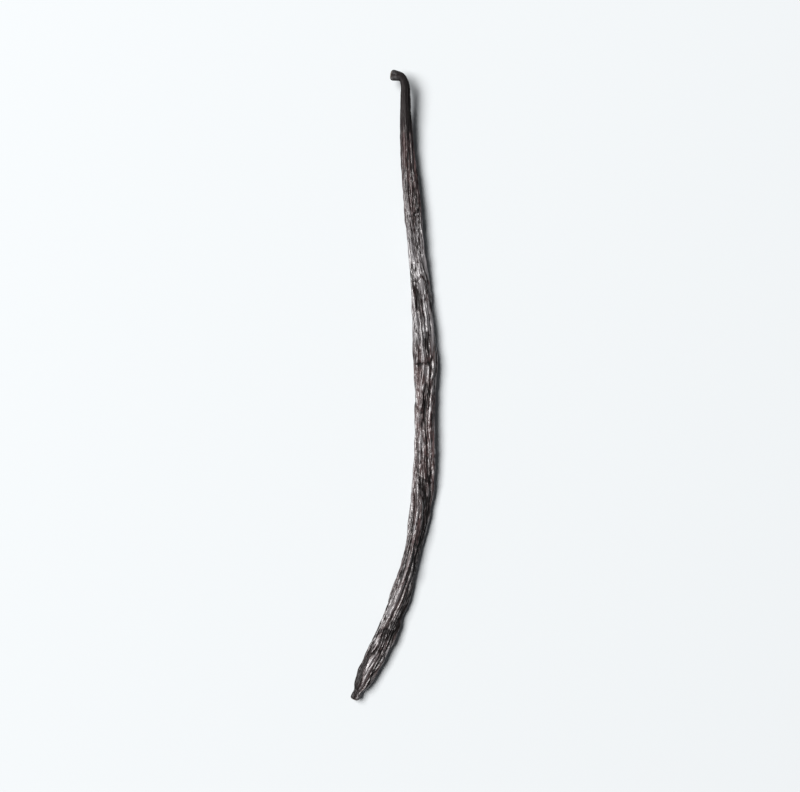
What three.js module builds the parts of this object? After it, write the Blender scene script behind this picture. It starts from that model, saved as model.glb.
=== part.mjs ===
// A cured vanilla pod: long, limp and wrinkled, with a hooked stem at one end and the small round
// scar of the flower at the other. It lies on a table, so its underside is pressed flat where it
// bears. Millimetres, +Z up and +Y towards the stem, with the origin on the table under the middle
// of the pod.
import * as THREE from "three";

// The centreline seen from above, from the flower end to the tip of the stem: each bend's length
// and the degrees that it turns to the left.
const START_HEADING = 65.9;
const BENDS = [
  { length: 14, turn: -3.1 },
  { length: 34, turn: 16 },
  { length: 22, turn: 9.2 },
  { length: 20, turn: 2.3 },
  { length: 28, turn: 5 },
  { length: 30, turn: 0.3 },
  { length: 26.4, turn: -5.5 },
  { length: 2.6, turn: 20 },
  { length: 1.9, turn: 58 },
  { length: 2.4, turn: 4 },
];
const LENGTH = BENDS.reduce((sum, bend) => sum + bend.length, 0);

// The section at places along the pod: its width and thickness, the degrees that it is twisted
// about the centreline, and how far its underside is lifted off the table.
const SECTIONS = [
  { at: 0, width: 2.3, thick: 2.1, twist: 10, lift: 1.1 },
  { at: 1.3, width: 2.4, thick: 2.2, twist: 10, lift: 1.0 },
  { at: 2.5, width: 2.2, thick: 2.0, twist: 10, lift: 0.95 },
  { at: 4.2, width: 3.7, thick: 2.8, twist: 11, lift: 0.6 },
  { at: 7, width: 4.7, thick: 3.5, twist: 12, lift: 0.25 },
  { at: 10.5, width: 5.1, thick: 3.8, twist: 14, lift: 0.05 },
  { at: 18, width: 5.7, thick: 4.0, twist: 10, lift: 0 },
  { at: 25, width: 5.1, thick: 4.0, twist: 2, lift: 0 },
  { at: 32, width: 5.6, thick: 4.1, twist: -10, lift: 0 },
  { at: 38, width: 4.8, thick: 4.0, twist: -17, lift: 0.1 },
  { at: 45, width: 4.3, thick: 4.0, twist: -22, lift: 0.25 },
  { at: 51, width: 5.0, thick: 4.1, twist: -18, lift: 0.2 },
  { at: 58, width: 5.8, thick: 4.1, twist: -13, lift: 0.1 },
  { at: 68, width: 5.9, thick: 4.2, twist: 2, lift: 0 },
  { at: 77, width: 5.4, thick: 4.4, twist: 10, lift: 0 },
  { at: 86, width: 5.6, thick: 4.4, twist: 12, lift: 0 },
  { at: 93, width: 6.1, thick: 4.4, twist: 8, lift: 0.2 },
  { at: 101, width: 6.4, thick: 4.3, twist: -4, lift: 0.3 },
  { at: 110, width: 6.0, thick: 4.2, twist: -8, lift: 0.1 },
  { at: 118.5, width: 5.5, thick: 4.1, twist: 2, lift: 0 },
  { at: 125, width: 4.7, thick: 3.9, twist: 20, lift: 0 },
  { at: 132, width: 4.3, thick: 3.8, twist: 32, lift: 0.1 },
  { at: 140, width: 4.7, thick: 3.8, twist: 30, lift: 0.3 },
  { at: 148, width: 4.35, thick: 3.6, twist: 18, lift: 0.7 },
  { at: 156, width: 3.75, thick: 3.2, twist: 6, lift: 1.3 },
  { at: 164, width: 3.3, thick: 2.8, twist: 0, lift: 2.3 },
  { at: 171, width: 2.8, thick: 2.6, twist: 0, lift: 3.2 },
  { at: 175.5, width: 2.55, thick: 2.5, twist: 0, lift: 3.6 },
  { at: 177.5, width: 2.3, thick: 2.4, twist: 0, lift: 3.7 },
  { at: 179, width: 2.6, thick: 2.6, twist: 0, lift: 3.5 },
  { at: 180.2, width: 3.0, thick: 2.8, twist: 0, lift: 3.3 },
  { at: LENGTH, width: 3.0, thick: 2.8, twist: 0, lift: 3.2 },
];
const SETTLE = 0.22; // how deep the soft underside is pressed flat by the table

// Relief: a few broad folds, and ridges that part and meet along the pod with sharp furrows between.
// Each set of them swings round the pod by up to its drift, in radians of its own wave.
const FOLDS = [
  { count: 3, depth: 0.17, drift: 0.9 },
  { count: 4, depth: 0.13, drift: 1.3 },
];
const RIDGES = [
  { count: 7, depth: 0.12, drift: 1.5 },
  { count: 10, depth: 0.13, drift: 1.9 },
];
const FURROW_SHARPNESS = 1.7; // 1 is an even wave
const SWINGS = [
  { every: 132, share: 1, shift: 2.1 },
  { every: 52, share: 0.5, shift: 4.7 },
];
const FADED_RELIEF = 0.35; // the share of the relief that is left on the stem and the flower end
const NECK = { from: 146, to: 170 };
const FLOWER_END = { from: 0, to: 9 };

// Both ends are blunt, with a rounded rim and a shallow dimple.
const FLOWER_RIM = 0.6;
const STEM_RIM = 0.9;
const DIMPLE = 0.35;

const AROUND = 44;
const STEPS = [
  { to: 1, step: 0.25 },
  { to: 8, step: 0.7 },
  { to: 166, step: 1.9 },
  { to: 174.4, step: 1.4 },
  { to: LENGTH - 1, step: 0.45 },
  { to: LENGTH, step: 0.2 },
];

const { degToRad, smoothstep } = THREE.MathUtils;

const fields = ["width", "thick", "twist", "lift"];
const sectionCurve = new THREE.CubicInterpolant(
  SECTIONS.map((section) => section.at),
  SECTIONS.flatMap((section) => fields.map((field) => section[field])),
  fields.length,
);

function sectionAt(along) {
  const [width, thick, twist, lift] = sectionCurve.evaluate(along);
  const a = width / 2;
  const b = thick / 2;
  const turn = degToRad(twist);
  const drop = Math.hypot(a * Math.sin(turn), b * Math.cos(turn));
  return { a, b, turn, middle: drop + lift - SETTLE };
}

// The centreline's place and heading, each bend being an arc of a circle.
function routeAt(along) {
  let x = 0;
  let y = 0;
  let heading = degToRad(START_HEADING);
  let left = along;
  for (const { length, turn } of BENDS) {
    const run = Math.min(left, length);
    const half = degToRad((turn * run) / length) / 2;
    const chord = half === 0 ? run : (run * Math.sin(half)) / half;
    x += chord * Math.cos(heading + half);
    y += chord * Math.sin(heading + half);
    heading += 2 * half;
    left -= run;
  }
  return { x, y, heading };
}

// A slow, uneven swing between -1.5 and 1.5, different for each number given to it.
function wander(along, number) {
  const swing = ({ every, share, shift }) =>
    share * Math.sin((2 * Math.PI * along) / every + shift * number);
  return SWINGS.reduce((sum, each) => sum + swing(each), 0);
}

// Broad crests and narrow furrows from an even wave between -1 and 1.
function furrowed(wave) {
  return 1 - 2 * ((1 - wave) / 2) ** FURROW_SHARPNESS;
}

function waveAt(angle, along, { count, depth, drift }) {
  const phase = drift * wander(along, count);
  return { depth, wave: Math.cos(count * angle + phase) };
}

// How far the skin stands out at an angle round the section.
function relief(angle, along) {
  let height = 0;
  for (const fold of FOLDS) {
    const { depth, wave } = waveAt(angle, along, fold);
    height += depth * wave;
  }
  for (const ridge of RIDGES) {
    const { depth, wave } = waveAt(angle, along, ridge);
    height += depth * furrowed(wave);
  }
  const stem = smoothstep(along, NECK.from, NECK.to);
  const flowerEnd = 1 - smoothstep(along, FLOWER_END.from, FLOWER_END.to);
  return height * (1 - (1 - FADED_RELIEF) * Math.max(stem, flowerEnd));
}

// How far the rounded rim has drawn the section in near either end, and the share of the relief that
// it leaves.
function rimAt(along) {
  const [inside, rim] = along < LENGTH / 2 ? [along, FLOWER_RIM] : [LENGTH - along, STEM_RIM];
  const short = Math.max(rim - inside, 0);
  const inset = rim - Math.sqrt(rim ** 2 - short ** 2);
  return { inset, share: 1 - inset / rim };
}

function ringAt(along) {
  const { x, y, heading } = routeAt(along);
  const { a, b, turn, middle } = sectionAt(along);
  const side = new THREE.Vector2(Math.sin(heading), -Math.cos(heading));
  const { inset, share } = rimAt(along);
  const ring = [];
  for (let i = 0; i < AROUND; i++) {
    const angle = (2 * Math.PI * i) / AROUND;
    const normal = new THREE.Vector2(Math.cos(angle) / a, Math.sin(angle) / b).normalize();
    const height = relief(angle, along) * share - inset;
    const out = new THREE.Vector2(a * Math.cos(angle), b * Math.sin(angle))
      .addScaledVector(normal, height)
      .rotateAround(new THREE.Vector2(), turn);
    const z = Math.max(middle + out.y, 0);
    ring.push(new THREE.Vector3(x + side.x * out.x, y + side.y * out.x, z));
  }
  return ring;
}

function stations() {
  const places = [0];
  for (const { to, step } of STEPS) {
    const from = places.at(-1);
    const count = Math.max(1, Math.round((to - from) / step));
    for (let i = 1; i <= count; i++) places.push(from + ((to - from) * i) / count);
  }
  return places;
}

function middleOf(ring) {
  return ring.reduce((sum, point) => sum.add(point), new THREE.Vector3()).divideScalar(ring.length);
}

// The dimple's bottom: the middle of an end ring, moved into the pod.
function dimpleOf(ring, along, inward) {
  const { heading } = routeAt(along);
  const into = new THREE.Vector3(Math.cos(heading), Math.sin(heading), 0);
  return middleOf(ring).addScaledVector(into, inward * DIMPLE);
}

function podGeometry() {
  const rings = stations().map(ringAt);
  const points = rings.flat();
  const faces = [];
  for (let r = 0; r + 1 < rings.length; r++) {
    for (let i = 0; i < AROUND; i++) {
      const next = (i + 1) % AROUND;
      const low = r * AROUND;
      const high = low + AROUND;
      faces.push(low + i, high + next, low + next, low + i, high + i, high + next);
    }
  }
  const last = (rings.length - 1) * AROUND;
  const flowerEnd = points.push(dimpleOf(rings[0], 0, 1)) - 1;
  const stemEnd = points.push(dimpleOf(rings.at(-1), LENGTH, -1)) - 1;
  for (let i = 0; i < AROUND; i++) {
    const next = (i + 1) % AROUND;
    faces.push(flowerEnd, i, next);
    faces.push(stemEnd, last + next, last + i);
  }
  const geometry = new THREE.BufferGeometry().setFromPoints(points);
  geometry.setIndex(faces);
  geometry.computeBoundingBox();
  const middle = geometry.boundingBox.getCenter(new THREE.Vector3());
  geometry.translate(-middle.x, -middle.y, 0);
  geometry.computeVertexNormals();
  return geometry;
}

function vanillaPod() {
  const skin = new THREE.MeshStandardMaterial({ color: 0x2c2321, roughness: 0.42, metalness: 0 });
  const mesh = new THREE.Mesh(podGeometry(), skin);
  mesh.name = "vanilla_pod";
  return mesh;
}

const group = new THREE.Group();
group.add(vanillaPod());

export default group;
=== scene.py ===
import bpy
import numpy as np
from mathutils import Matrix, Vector


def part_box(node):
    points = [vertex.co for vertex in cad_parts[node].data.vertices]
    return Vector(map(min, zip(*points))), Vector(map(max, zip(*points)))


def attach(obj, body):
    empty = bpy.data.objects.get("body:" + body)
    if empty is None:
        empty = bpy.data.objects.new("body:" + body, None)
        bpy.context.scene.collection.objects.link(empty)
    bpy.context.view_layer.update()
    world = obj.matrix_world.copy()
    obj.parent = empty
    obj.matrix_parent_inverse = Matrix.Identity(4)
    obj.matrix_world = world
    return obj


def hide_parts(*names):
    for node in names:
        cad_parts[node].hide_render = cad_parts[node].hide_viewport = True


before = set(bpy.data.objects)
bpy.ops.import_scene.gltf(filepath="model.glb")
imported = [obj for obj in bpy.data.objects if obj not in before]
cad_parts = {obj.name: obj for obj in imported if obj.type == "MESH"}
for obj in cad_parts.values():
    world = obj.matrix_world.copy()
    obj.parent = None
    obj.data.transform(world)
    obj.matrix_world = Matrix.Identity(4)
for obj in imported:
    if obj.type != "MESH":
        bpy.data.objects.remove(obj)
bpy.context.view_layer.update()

MM = 0.001
NODE = "vanilla_pod"
BODY = "root"

# The centreline from above, from the flower end to the tip of the stem: each bend's length and
# the degrees that it turns to the left.
START_HEADING = 65.9
BENDS = (
    (14, -3.1),
    (34, 16),
    (22, 9.2),
    (20, 2.3),
    (28, 5),
    (30, 0.3),
    (26.4, -5.5),
    (2.6, 20),
    (1.9, 58),
    (2.4, 4),
)
LENGTH = sum(length for length, _ in BENDS)

# Sections along the pod: place, width, thickness, twist in degrees, and lift off the table.
SECTIONS = (
    (0, 2.3, 2.1, 10, 1.1),
    (1.3, 2.4, 2.2, 10, 1.0),
    (2.5, 2.2, 2.0, 10, 0.95),
    (4.2, 3.7, 2.8, 11, 0.6),
    (7, 4.7, 3.5, 12, 0.25),
    (10.5, 5.1, 3.8, 14, 0.05),
    (18, 5.7, 4.0, 10, 0),
    (25, 5.1, 4.0, 2, 0),
    (32, 5.6, 4.1, -10, 0),
    (38, 4.8, 4.0, -17, 0.1),
    (45, 4.3, 4.0, -22, 0.25),
    (51, 5.0, 4.1, -18, 0.2),
    (58, 5.8, 4.1, -13, 0.1),
    (68, 5.9, 4.2, 2, 0),
    (77, 5.4, 4.4, 10, 0),
    (86, 5.6, 4.4, 12, 0),
    (93, 6.1, 4.4, 8, 0.2),
    (101, 6.4, 4.3, -4, 0.3),
    (110, 6.0, 4.2, -8, 0.1),
    (118.5, 5.5, 4.1, 2, 0),
    (125, 4.7, 3.9, 20, 0),
    (132, 4.3, 3.8, 32, 0.1),
    (140, 4.7, 3.8, 30, 0.3),
    (148, 4.35, 3.6, 18, 0.7),
    (156, 3.75, 3.2, 6, 1.3),
    (164, 3.3, 2.8, 0, 2.3),
    (171, 2.8, 2.6, 0, 3.2),
    (175.5, 2.55, 2.5, 0, 3.6),
    (177.5, 2.3, 2.4, 0, 3.7),
    (179, 2.6, 2.6, 0, 3.5),
    (180.2, 3.0, 2.8, 0, 3.3),
    (LENGTH, 3.0, 2.8, 0, 3.2),
)
SETTLE = 0.22  # how deep the soft underside is pressed flat by the table

# Waves round the section: how many, how deep, and how far they swing round along the pod.
FOLDS = ((3, 0.17, 0.9), (4, 0.13, 1.3))
RIDGES = ((7, 0.12, 1.5), (10, 0.13, 1.9))
FURROW_SHARPNESS = 1.7  # 1 is an even wave
# A swing's length along the pod, its share, and its shift for each wave round the section.
SWINGS = ((132, 1, 2.1), (52, 0.5, 4.7))
FADED_RELIEF = 0.35  # the share of the relief that is left on the stem and the flower end
NECK = (146, 170)
FLOWER_END = (0, 9)

# The noises below each have a cell length along the pod, a count of cells round it, and a height.
# SWAY moves what follows from side to side, in radians.
SEED = 41
SWAY = ((9, 5, 0.13), (3, 10, 0.07))
CREASED = ((15, 9, 0.17), (10, 15, 0.22), (4.5, 23, 0.2), (2.2, 36, 0.13))
CREASE_SHARPNESS = 1.3
CREASE_POWER = 0.8
BEADS = ((2.6, 17, 0.08), (1.2, 27, 0.055))
CREST_RISE = 0.08
# Fibres under the skin raise even ridges, which come and go along the pod.
FIBRES = 23
FIBRE_HEIGHT = 0.05
FIBRE_SHADE = 0.07  # how much painted shade darkens the skin between the fibres
FIBRE_PATCHES = (5, 9, 0.8)
STRONGEST_FIBRES = 1.8
FIBRE_LEVEL = 0.4  # the middle height of the fibres' wave

# Creases across the pod: place, degrees from the top towards the left, half span, and depth.
# Each is at its full depth over PINCH_FULL of its span, and has a low swelling on both its sides.
PINCHES = (
    (20.4, 15, 75, 0.2),
    (47.5, -25, 60, 0.12),
    (64.6, -10, 55, 0.14),
    (84, 35, 50, 0.1),
    (97.6, 5, 60, 0.16),
    (121.5, 20, 60, 0.12),
    (140, -15, 65, 0.16),
)
PINCH_WIDTH = 0.5
PINCH_FULL = 0.4
SWELLING_HEIGHT = 0.35  # as a share of the crease's depth
SWELLING_PLACE = 2.2  # in widths of the crease from its middle
SWELLING_WIDTH = 1.2
PINCH_SHADE = 2  # how much a crease's depth in mm adds to the painted shade in a furrow
VALLEY_SHADE = 0.22  # and how much the depth of the broad folds and ridges does
PINCH_SWAY = (5, 10, 0.7)

# Both ends are blunt, with a rounded rim and a shallow dimple.
FLOWER_RIM = 0.6
STEM_RIM = 0.9
DIMPLE = 0.35
CAP_RINGS = 8

AROUND = 160
TOP_SHARE = 0.25  # how much closer the points lie on top than on average
# How far apart the rings are, up to each place along the pod.
STEPS = (
    (1, 0.08),
    (8, 0.27),
    (170, 0.34),
    (174.4, 0.28),
    (179, 0.14),
    (LENGTH - 1, 0.18),
    (LENGTH, 0.09),
)
ROUTE_POINTS = 8001
NOISE_MARGIN = 2  # cells of noise past each end of the pod

# Linear colours: the skin goes from the painted shade of its furrows up to the colour of its crests,
# and the others lie over that.
# Painted shade in the furrows, in the creases across the pod and between the fibres.
FURROW_SHADE_COLOUR = (0.0045, 0.0024, 0.0023, 1)
SKIN_COLOUR = (0.0115, 0.0062, 0.006, 1)
# Partly the browner skin of the crests and partly painted highlight.
CREST_BROWN_AND_HIGHLIGHT = (0.066, 0.05, 0.0485, 1)
RED_BROWN = (0.08, 0.05, 0.0485, 1)
# A pale grey on the crests, partly the pod's own bloom and partly painted sheen.
BLOOM_AND_SHEEN_COLOUR = (0.175, 0.166, 0.17, 1)
# The stem's own dark colour, partly painted shade.
STEM_COLOUR_AND_SHADE = (0.01, 0.008, 0.008, 1)
TIP_COLOUR = (0.1, 0.097, 0.098, 1)
SCAR_COLOUR = (0.1, 0.08, 0.06, 1)

# Noises on the skin: how fine they are round the pod and along it, and how detailed.
STREAKS = (9.0, 0.6, 4.0)
PITS = (10.0, 1.8, 3.0)
RED_PATCHES = (1.5, 0.1, 3.0)
BLOOM_AND_SHEEN_PATCHES = (2.2, 0.16, 3.0)
GLOSS_PATCHES = (5.0, 0.55, 3.0)
CRINKLES = (6.0, 1.0, 2.0)
TIP_PATCHES = (1.6, 0.8, 3.0)
GRAIN = (16.0, 4.5, 3.0)
NOISE_ROUGHNESS = 0.55
CRINKLE_HEIGHT = 0.13
GRAIN_HEIGHT = 0.02

# Where a look comes in: the values at which there is none of it and all of it, and what it adds at
# both, where that isn't 0 and 1.
STREAK_RANGE = (0.3, 0.7, 0.19, -0.19)
PIT_RANGE = (0.44, 0.3, 0.0, 0.16)
CREST_RANGE = (0.38, 0.18)
FURROW_RANGE = (0.34, 0.5)
RED_RANGE = (0.48, 0.66, 0.0, 0.75)
BLOOM_AND_SHEEN_RANGE = (0.42, 0.66)
OIL_RANGE = (0.46, 0.16, 0.1, 1.0)
TIP_RANGE = (0.38, 0.64, 0.0, 0.8)
GLOSS_RANGE = (0.4, 0.62, 0.26, 0.44)

# Places in mm from the flower end at which there is none of a look and all of it. A stretch has one
# such pair for its start and one for its end.
STEM_FROM = (158.0, 174.0)
BODY_UNTIL = (171.0, 123.0)
NECK_STRETCH = ((134.0, 150.0), (168.0, 158.0))
RUSTY_STRETCH = ((58.0, 72.0), (106.0, 94.0))
SILVER_STRETCH = ((98.0, 112.0), (142.0, 128.0))
PALE_END = (36.0, 22.0)
# The same for the scars, from either end, and for the dry patches, from the tip of the stem.
SCAR_DEPTHS = (0.35, 0.1)
TIP_DEPTHS = (3.0, 1.8)

# What these places add to the red and the pale patches, the pale ones partly painted sheen, and how
# much they lift the skin out of its painted furrow shade.
NECK_RED = 0.06
RUSTY_RED = 0.14
# The silver stretch's pale grey is painted sheen.
SILVER_SHEEN = 0.36
SILVER_SHADE_LIFT = 0.07
RUSTY_SHADE_LIFT = 0.05
END_BLOOM = 0.04
STEM_SHARE = 0.85  # of the stem's dark colour, partly painted shade, where it is all stem
STEM_ROUGHNESS = 0.4  # added on the stem
FURROW_ROUGHNESS = 0.3  # added in the furrows
SKIN_IOR = 1.36
OIL_ROUGHNESS = 0.24

TABLE_SIZE = 30.0  # metres
TABLE_ROUGHNESS = 0.8
TABLE_COLOUR = (0.582, 0.61, 0.623, 1)

# A large soft light from the upper left, in metres and watts, and the faint light of the room.
WINDOW_PLACE = (-3.2, 1.2, 4.7)
WINDOW_SIZE = (4.4, 3.2)
WINDOW_POWER = 690
WINDOW_COLOUR = (1, 0.985, 0.98)
ROOM_COLOUR = (0.93, 0.95, 1, 1)
ROOM_STRENGTH = 0.08

# The photograph's frame is this wide at the pod's height, and it is centred off the pod's middle.
FRAME_WIDTH = 224
FRAME_CENTRE = (1.6, -2.8)
POD_MIDDLE = 3
LENS = 85
SENSOR = 36
NEAREST = 0.01  # metres


def smoothstep(value, start, stop):
    t = np.clip((value - start) / (stop - start), 0, 1)
    return t * t * (3 - 2 * t)


def sweep_places():
    """Where the rings are, along the pod."""
    places = [np.zeros(1)]
    start = 0
    for stop, step in STEPS:
        count = max(1, round((stop - start) / step))
        places.append(np.linspace(start, stop, count + 1)[1:])
        start = stop
    return np.concatenate(places)


def route_at(along):
    """The centreline's points and headings at places along it."""
    ends = np.cumsum([0] + [length for length, _ in BENDS])
    turned = np.radians(START_HEADING + np.cumsum([0] + [turn for _, turn in BENDS]))
    fine = np.linspace(0, LENGTH, ROUTE_POINTS)
    heading = np.interp(fine, ends, turned)
    middle = (heading[1:] + heading[:-1]) / 2
    step = fine[1]
    x = np.concatenate([[0], np.cumsum(np.cos(middle) * step)])
    y = np.concatenate([[0], np.cumsum(np.sin(middle) * step)])
    return np.interp(along, fine, x), np.interp(along, fine, y), np.interp(along, ends, turned)


def spline(at, values, along):
    """A smooth curve through values, whose slope at each is that of its two neighbours."""
    at, values = np.asarray(at, float), np.asarray(values, float)
    slope = np.gradient(values, at)
    i = np.clip(np.searchsorted(at, along, side="right") - 1, 0, len(at) - 2)
    span = at[i + 1] - at[i]
    t = (along - at[i]) / span
    start = (1 + 2 * t) * (1 - t) ** 2 * values[i] + t * (1 - t) ** 2 * span * slope[i]
    stop = t * t * (3 - 2 * t) * values[i + 1] + t * t * (t - 1) * span * slope[i + 1]
    return start + stop


def wander(along, number):
    """A slow, uneven swing, different for each number of waves."""
    total = np.zeros_like(along)
    for every, share, shift in SWINGS:
        total += share * np.sin(2 * np.pi * along / every + shift * number)
    return total


def furrowed(wave):
    """Broad crests and narrow furrows from an even wave between -1 and 1."""
    return 1 - 2 * ((1 - wave) / 2) ** FURROW_SHARPNESS


def cubic_weights(t):
    """Weights of a cubic B-spline over four neighbours."""
    return (
        (1 - t) ** 3 / 6,
        (3 * t**3 - 6 * t**2 + 4) / 6,
        (-3 * t**3 + 3 * t**2 + 3 * t + 1) / 6,
        t**3 / 6,
    )


def noise(along, angle, cell, around, rng):
    """Smooth random heights, mostly between -1 and 1, that join up round the pod."""
    grid = rng.standard_normal((int(LENGTH / cell) + 3 * NOISE_MARGIN, around))
    u = along / cell + NOISE_MARGIN
    v = angle / (2 * np.pi) * around
    iu, iv = np.floor(u).astype(int), np.floor(v).astype(int)
    total = np.zeros(np.broadcast(along, angle).shape)
    for k, wk in enumerate(cubic_weights(u - iu)):
        for m, wm in enumerate(cubic_weights(v - iv)):
            total += wk * wm * grid[iu + k - 1, (iv + m - 1) % around]
    return total / total.std()


def big_relief(along, angle):
    """The folds and ridges that the solid has too."""
    height = 0
    for count, depth, drift in FOLDS:
        height = height + depth * np.cos(count * angle + drift * wander(along, count))
    for count, depth, drift in RIDGES:
        height = height + depth * furrowed(np.cos(count * angle + drift * wander(along, count)))
    return height


def fine_relief(along, angle, rng):
    """Furrows that branch, ridges over the fibres, and the beads that break them up.

    The second result is 1 where every furrow is at its deepest, and near 0 on the crests; it sets how
    much shade is painted into the furrows.
    """
    for cell, around, turn in SWAY:
        angle = angle + turn * noise(along, angle, cell, around, rng)
    drop = 0
    for cell, around, depth in CREASED:
        swell = np.abs(noise(along, angle, cell, around, rng))
        drop = drop + depth * (1 - np.tanh(CREASE_SHARPNESS * swell**CREASE_POWER))
    height = CREST_RISE - drop
    cell, around, change = FIBRE_PATCHES
    strength = np.clip(1 + change * noise(along, angle, cell, around, rng), 0, STRONGEST_FIBRES)
    fibres = strength * (furrowed(np.cos(FIBRES * angle)) - FIBRE_LEVEL)
    height = height + FIBRE_HEIGHT * fibres
    for cell, around, depth in BEADS:
        height = height + depth * noise(along, angle, cell, around, rng)
    return height, drop / sum(depth for _, _, depth in CREASED) - FIBRE_SHADE * fibres


def pinch_relief(along, up_angle, rng):
    """The creases across the pod."""
    height = 0
    cell, around, sway = PINCH_SWAY
    along = along + sway * noise(along, up_angle, cell, around, rng)
    for place, middle, span, depth in PINCHES:
        off = np.degrees(up_angle) - 90 - middle
        off = np.abs((off + 180) % 360 - 180)
        depth = depth * (1 - smoothstep(off, PINCH_FULL * span, span))
        away = np.abs(along - place) / PINCH_WIDTH
        swelling = np.exp(-(((away - SWELLING_PLACE) / SWELLING_WIDTH) ** 2))
        height = height - depth * (np.exp(-(away**2)) - SWELLING_HEIGHT * swelling)
    return height


def skin_relief(along, angle, up_angle):
    """How far the skin stands out, and how much shade is painted into its creases, over the whole pod.
    """
    rng = np.random.default_rng(SEED)
    fine, crease = fine_relief(along, angle, rng)
    pinch = pinch_relief(along, up_angle, rng)
    big = big_relief(along, angle)
    faded = np.maximum(smoothstep(along, *NECK), 1 - smoothstep(along, *FLOWER_END))
    share = 1 - (1 - FADED_RELIEF) * faded
    relief = (big + fine) * share + pinch
    crease = crease - VALLEY_SHADE * big + PINCH_SHADE * np.maximum(-pinch, 0)
    return relief, crease


def drawn_in(along, relief):
    """The relief with the pod's rounded rims at both ends."""
    rim = np.where(along < LENGTH / 2, FLOWER_RIM, STEM_RIM)
    short = np.maximum(rim - np.minimum(along, LENGTH - along), 0)
    inset = rim - np.sqrt(rim**2 - short**2)
    return relief * (1 - inset / rim) - inset


def pod_rings(places):
    """Ring points as an array of rings by points by three, with their creases and angles."""
    along = places[:, None]
    at, *columns = zip(*SECTIONS)
    width, thick, twist, lift = (spline(at, column, along) for column in columns)
    a, b, turn = width / 2, thick / 2, np.radians(twist)
    middle = np.hypot(a * np.sin(turn), b * np.cos(turn)) + lift - SETTLE

    even = np.linspace(0, 2 * np.pi, AROUND, endpoint=False)[None, :]
    up_angle = even + TOP_SHARE * np.cos(even)
    angle = up_angle - turn
    relief, crease = skin_relief(along, angle, up_angle)
    height = drawn_in(along, relief)

    nx, ny = np.cos(angle) / a, np.sin(angle) / b
    size = np.hypot(nx, ny)
    u = a * np.cos(angle) + height * nx / size
    v = b * np.sin(angle) + height * ny / size
    across = u * np.cos(turn) - v * np.sin(turn)
    up = u * np.sin(turn) + v * np.cos(turn)
    x, y, heading = (value[:, None] for value in route_at(places))
    x = x + np.sin(heading) * across
    y = y - np.cos(heading) * across
    return np.stack([x, y, np.maximum(middle + up, 0)], -1), crease, angle


def cap_rings(ring, into):
    """Rings that close an end over its dimple."""
    centre = ring.mean(0)
    rings = []
    for k in range(1, CAP_RINGS):
        t = k / CAP_RINGS
        rings.append(centre + (ring - centre) * (1 - t) + into * DIMPLE * np.sin(t * np.pi / 2))
    return rings


def closed_rings(points, heading):
    """The rings with those over both dimples, and the bottoms of the dimples."""
    into_start = np.array([np.cos(heading[0]), np.sin(heading[0]), 0])
    into_stop = -np.array([np.cos(heading[-1]), np.sin(heading[-1]), 0])
    start = cap_rings(points[0], into_start)[::-1]
    stop = cap_rings(points[-1], into_stop)
    bottoms = [points[0].mean(0) + into_start * DIMPLE, points[-1].mean(0) + into_stop * DIMPLE]
    return np.array([*start, *points, *stop]), np.array(bottoms)


def over_the_solid(verts):
    """The points in metres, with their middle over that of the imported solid."""
    low, high = verts.min(0), verts.max(0)
    cad_low, cad_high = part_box(NODE)
    verts[:, :2] -= (low[:2] + high[:2]) / 2
    verts = verts * MM
    verts[:, 0] += (cad_low.x + cad_high.x) / 2
    verts[:, 1] += (cad_low.y + cad_high.y) / 2
    verts[:, 2] += cad_low.z
    return verts


def skin_faces(count):
    """Faces between the rings, and fans from the first and last ring to the dimples' bottoms."""
    here = np.arange(AROUND)
    beside = (here + 1) % AROUND
    low = (np.arange(count - 1) * AROUND)[:, None]
    high = low + AROUND
    quads = np.stack([low + here, high + here, high + beside, low + beside], -1).reshape(-1, 4)
    last = (count - 1) * AROUND
    first_bottom = count * AROUND
    last_bottom = first_bottom + 1
    fans = [(first_bottom, i, j) for i, j in zip(here.tolist(), beside.tolist())]
    fans += [(last_bottom, last + j, last + i) for i, j in zip(here.tolist(), beside.tolist())]
    return quads.tolist() + fans


def pod_mesh():
    places = sweep_places()
    points, crease, angle = pod_rings(places)
    _, _, heading = route_at(places)
    rings, bottoms = closed_rings(points, heading)
    verts = over_the_solid(np.concatenate([rings.reshape(-1, 3), bottoms]))
    mesh = bpy.data.meshes.new("wrinkled_pod")
    mesh.from_pydata(verts.tolist(), [], skin_faces(len(rings)))
    mesh.update()
    mesh.polygons.foreach_set("use_smooth", np.ones(len(mesh.polygons), bool))

    capped = ((CAP_RINGS - 1, CAP_RINGS - 1), (0, 0))
    along = np.pad(np.repeat(places[:, None], AROUND, 1), capped, mode="edge")
    angle = np.pad(angle, capped, mode="edge")
    crease = np.pad(crease, capped, mode="edge")
    straight = np.stack([np.cos(angle), np.sin(angle), along], -1).reshape(-1, 3)
    add_attribute(mesh, "crease", "FLOAT", [*crease.ravel(), 0, 0])
    add_attribute(mesh, "along", "FLOAT", [*along.ravel(), 0, LENGTH])
    add_attribute(mesh, "straight", "FLOAT_VECTOR", [*straight, (0, 0, 0), (0, 0, LENGTH)])
    return mesh


def add_attribute(mesh, name, kind, values):
    attribute = mesh.attributes.new(name, kind, "POINT")
    key = "vector" if kind == "FLOAT_VECTOR" else "value"
    attribute.data.foreach_set(key, np.asarray(values, np.float32).ravel())


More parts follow.
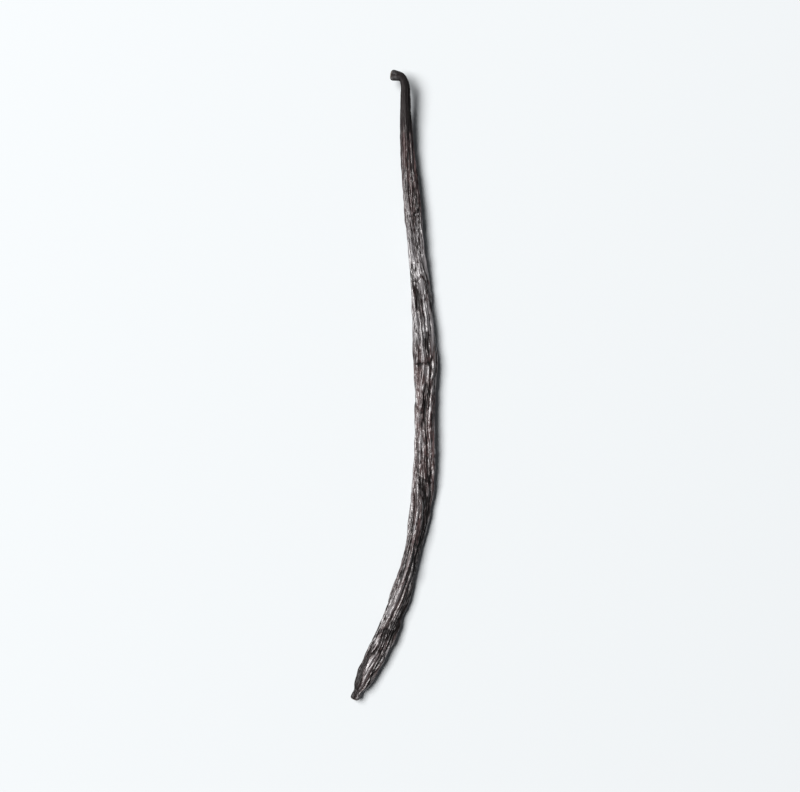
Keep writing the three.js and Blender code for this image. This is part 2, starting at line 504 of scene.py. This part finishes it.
class Nodes:
    """Short ways to build a material's nodes."""

    def __init__(self, name):
        self.material = bpy.data.materials.new(name)
        self.material.use_nodes = True
        self.tree = self.material.node_tree
        self.shader = self.tree.nodes["Principled BSDF"]

    def link(self, source, socket):
        if isinstance(source, (int, float, tuple)):
            socket.default_value = source
        else:
            self.tree.links.new(source, socket)

    def attribute(self, name, output="Fac"):
        node = self.tree.nodes.new("ShaderNodeAttribute")
        node.attribute_name = name
        return node.outputs[output]

    def math(self, operation, *values, clamp=False):
        node = self.tree.nodes.new("ShaderNodeMath")
        node.operation = operation
        node.use_clamp = clamp
        for value, socket in zip(values, node.inputs):
            self.link(value, socket)
        return node.outputs[0]

    def scaled(self, vector, scale):
        node = self.tree.nodes.new("ShaderNodeVectorMath")
        node.operation = "MULTIPLY"
        self.link(vector, node.inputs[0])
        node.inputs[1].default_value = scale
        return node.outputs[0]

    def noise(self, straight, fineness):
        """A noise that is this fine round the pod and along it, and this detailed."""
        around, lengthwise, detail = fineness
        node = self.tree.nodes.new("ShaderNodeTexNoise")
        self.link(self.scaled(straight, (around, around, lengthwise)), node.inputs["Vector"])
        node.inputs["Scale"].default_value = 1
        node.inputs["Detail"].default_value = detail
        node.inputs["Roughness"].default_value = NOISE_ROUGHNESS
        return node.outputs["Fac"]

    def ramp(self, value, start, stop, low=0.0, high=1.0):
        node = self.tree.nodes.new("ShaderNodeMapRange")
        node.interpolation_type = "SMOOTHSTEP"
        self.link(value, node.inputs["Value"])
        node.inputs["From Min"].default_value = start
        node.inputs["From Max"].default_value = stop
        node.inputs["To Min"].default_value = low
        node.inputs["To Max"].default_value = high
        return node.outputs["Result"]

    def stretch(self, along, rise, fall):
        """1 on a stretch of the pod, and 0 before its rise and after its fall."""
        return self.math("MULTIPLY", self.ramp(along, *rise), self.ramp(along, *fall))

    def raised(self, value, share, amount):
        """The value with a share of an amount added to it."""
        return self.math("MULTIPLY_ADD", share, amount, value)

    def mix(self, factor, first, second):
        node = self.tree.nodes.new("ShaderNodeMix")
        node.data_type = "RGBA"
        self.link(factor, node.inputs["Factor"])
        self.link(first, node.inputs["A"])
        self.link(second, node.inputs["B"])
        return node.outputs["Result"]

    def bump(self, height, distance, normal=None):
        node = self.tree.nodes.new("ShaderNodeBump")
        node.inputs["Strength"].default_value = 1
        node.inputs["Distance"].default_value = distance * MM
        self.link(height, node.inputs["Height"])
        if normal is not None:
            self.link(normal, node.inputs["Normal"])
        return node.outputs["Normal"]


def skin_level(n, straight, along):
    """How deep in a furrow the skin looks, which sets the shade painted into it: the mesh's own
    creases with finer streaks and pits, lifted in the silver and rusty stretches.
    """
    streaks = n.ramp(n.noise(straight, STREAKS), *STREAK_RANGE)
    pits = n.ramp(n.noise(straight, PITS), *PIT_RANGE)
    level = n.math("ADD", n.math("ADD", n.attribute("crease"), streaks), pits)
    # Lifted out of the painted furrow shade, towards the lighter crests, in the silver and rusty
    # stretches.
    level = n.raised(level, n.stretch(along, *SILVER_STRETCH), -SILVER_SHADE_LIFT)
    return n.raised(level, n.stretch(along, *RUSTY_STRETCH), -RUSTY_SHADE_LIFT)


def skin_colour(n, straight, along, crest, furrow):
    """Black in the furrows as painted shade, crests lighter partly as painted highlight, with
    red-brown and greyish patches, the greyish ones partly painted sheen, a dark stem partly painted
    shade, and pale scars.
    """
    stem = n.ramp(along, *STEM_FROM)
    body = n.ramp(along, *BODY_UNTIL)
    red = n.raised(n.noise(straight, RED_PATCHES), n.stretch(along, *NECK_STRETCH), NECK_RED)
    red = n.raised(red, n.stretch(along, *RUSTY_STRETCH), RUSTY_RED)
    # Pale grey on the crests, partly bloom and partly painted sheen, strongest in the silver stretch.
    bloom_and_sheen = n.raised(n.noise(straight, BLOOM_AND_SHEEN_PATCHES), n.stretch(along, *SILVER_STRETCH), SILVER_SHEEN)
    bloom_and_sheen = n.raised(bloom_and_sheen, n.ramp(along, *PALE_END), END_BLOOM)
    bloom_and_sheen = n.math("MULTIPLY", n.ramp(bloom_and_sheen, *BLOOM_AND_SHEEN_RANGE), crest)

    # The crests lighter, partly their browner skin and partly painted highlight.
    colour = n.mix(n.math("MULTIPLY", crest, body), SKIN_COLOUR, CREST_BROWN_AND_HIGHLIGHT)
    colour = n.mix(n.ramp(red, *RED_RANGE), colour, RED_BROWN)
    colour = n.mix(n.math("MULTIPLY", bloom_and_sheen, body), colour, BLOOM_AND_SHEEN_COLOUR)
    # Painted shade in the furrows.
    colour = n.mix(furrow, colour, FURROW_SHADE_COLOUR)
    # The stem darker, partly painted shade.
    colour = n.mix(n.math("MULTIPLY", stem, STEM_SHARE), colour, STEM_COLOUR_AND_SHADE)
    from_tip = n.math("SUBTRACT", LENGTH, along)
    tip_patches = n.ramp(n.noise(straight, TIP_PATCHES), *TIP_RANGE)
    colour = n.mix(n.math("MULTIPLY", n.ramp(from_tip, *TIP_DEPTHS), tip_patches), colour, TIP_COLOUR)
    scar = n.math("MAXIMUM", n.ramp(along, *SCAR_DEPTHS), n.ramp(from_tip, *SCAR_DEPTHS))
    return n.mix(scar, colour, SCAR_COLOUR)


def skin_roughness(n, straight, along, furrow):
    """Half glossy in patches, and duller in the furrows and on the stem."""
    gloss = n.ramp(n.noise(straight, GLOSS_PATCHES), *GLOSS_RANGE)
    rough = n.raised(gloss, n.ramp(along, *STEM_FROM), STEM_ROUGHNESS)
    return n.raised(rough, furrow, FURROW_ROUGHNESS)


def skin_material():
    """Nearly black skin with painted shade in its furrows, browner and greyer on its oily crests in
    patches, partly as painted highlight and sheen, and a drier stem.
    """
    n = Nodes("pod_skin")
    straight = n.attribute("straight", "Vector")
    along = n.attribute("along")
    level = skin_level(n, straight, along)
    crest = n.ramp(level, *CREST_RANGE)
    furrow = n.ramp(level, *FURROW_RANGE)
    n.link(skin_colour(n, straight, along, crest, furrow), n.shader.inputs["Base Color"])
    n.link(skin_roughness(n, straight, along, furrow), n.shader.inputs["Roughness"])
    n.shader.inputs["IOR"].default_value = SKIN_IOR

    oil = n.math("MULTIPLY", n.ramp(level, *OIL_RANGE), n.ramp(along, *BODY_UNTIL))
    n.link(oil, n.shader.inputs["Coat Weight"])
    n.shader.inputs["Coat Roughness"].default_value = OIL_ROUGHNESS

    crinkles = n.bump(n.noise(straight, CRINKLES), CRINKLE_HEIGHT)
    normal = n.bump(n.noise(straight, GRAIN), GRAIN_HEIGHT, crinkles)
    n.link(normal, n.shader.inputs["Normal"])
    n.link(normal, n.shader.inputs["Coat Normal"])
    return n.material


def vanilla_pod():
    pod = bpy.data.objects.new("wrinkled_pod", pod_mesh())
    bpy.context.collection.objects.link(pod)
    pod.data.materials.append(skin_material())
    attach(pod, BODY)
    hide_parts(NODE)


def table_top():
    half = TABLE_SIZE / 2
    mesh = bpy.data.meshes.new("table")
    corners = [(-half, -half, 0), (half, -half, 0), (half, half, 0), (-half, half, 0)]
    mesh.from_pydata(corners, [], [(0, 1, 2, 3)])
    table = bpy.data.objects.new("table", mesh)
    bpy.context.collection.objects.link(table)
    material = bpy.data.materials.new("table")
    material.use_nodes = True
    shader = material.node_tree.nodes["Principled BSDF"]
    shader.inputs["Base Color"].default_value = TABLE_COLOUR
    shader.inputs["Roughness"].default_value = TABLE_ROUGHNESS
    table.data.materials.append(material)


def window_light():
    light = bpy.data.lights.new("window", "AREA")
    light.shape = "RECTANGLE"
    light.size, light.size_y = WINDOW_SIZE
    light.energy = WINDOW_POWER
    light.color = WINDOW_COLOUR
    lamp = bpy.data.objects.new("window", light)
    lamp.location = WINDOW_PLACE
    lamp.rotation_euler = (-Vector(WINDOW_PLACE)).to_track_quat("-Z", "Y").to_euler()
    bpy.context.collection.objects.link(lamp)


def room_light():
    world = bpy.data.worlds.new("room")
    world.use_nodes = True
    background = world.node_tree.nodes["Background"]
    background.inputs["Color"].default_value = ROOM_COLOUR
    background.inputs["Strength"].default_value = ROOM_STRENGTH
    bpy.context.scene.world = world


def camera():
    data = bpy.data.cameras.new("camera")
    data.lens = LENS
    data.sensor_width = SENSOR
    data.clip_start = NEAREST
    eye = bpy.data.objects.new("camera", data)
    height = POD_MIDDLE + FRAME_WIDTH * LENS / SENSOR
    eye.location = Vector((*FRAME_CENTRE, height)) * MM
    bpy.context.collection.objects.link(eye)
    bpy.context.scene.camera = eye


camera()
vanilla_pod()
table_top()
window_light()
room_light()
bpy.context.scene.view_settings.view_transform = "Standard"
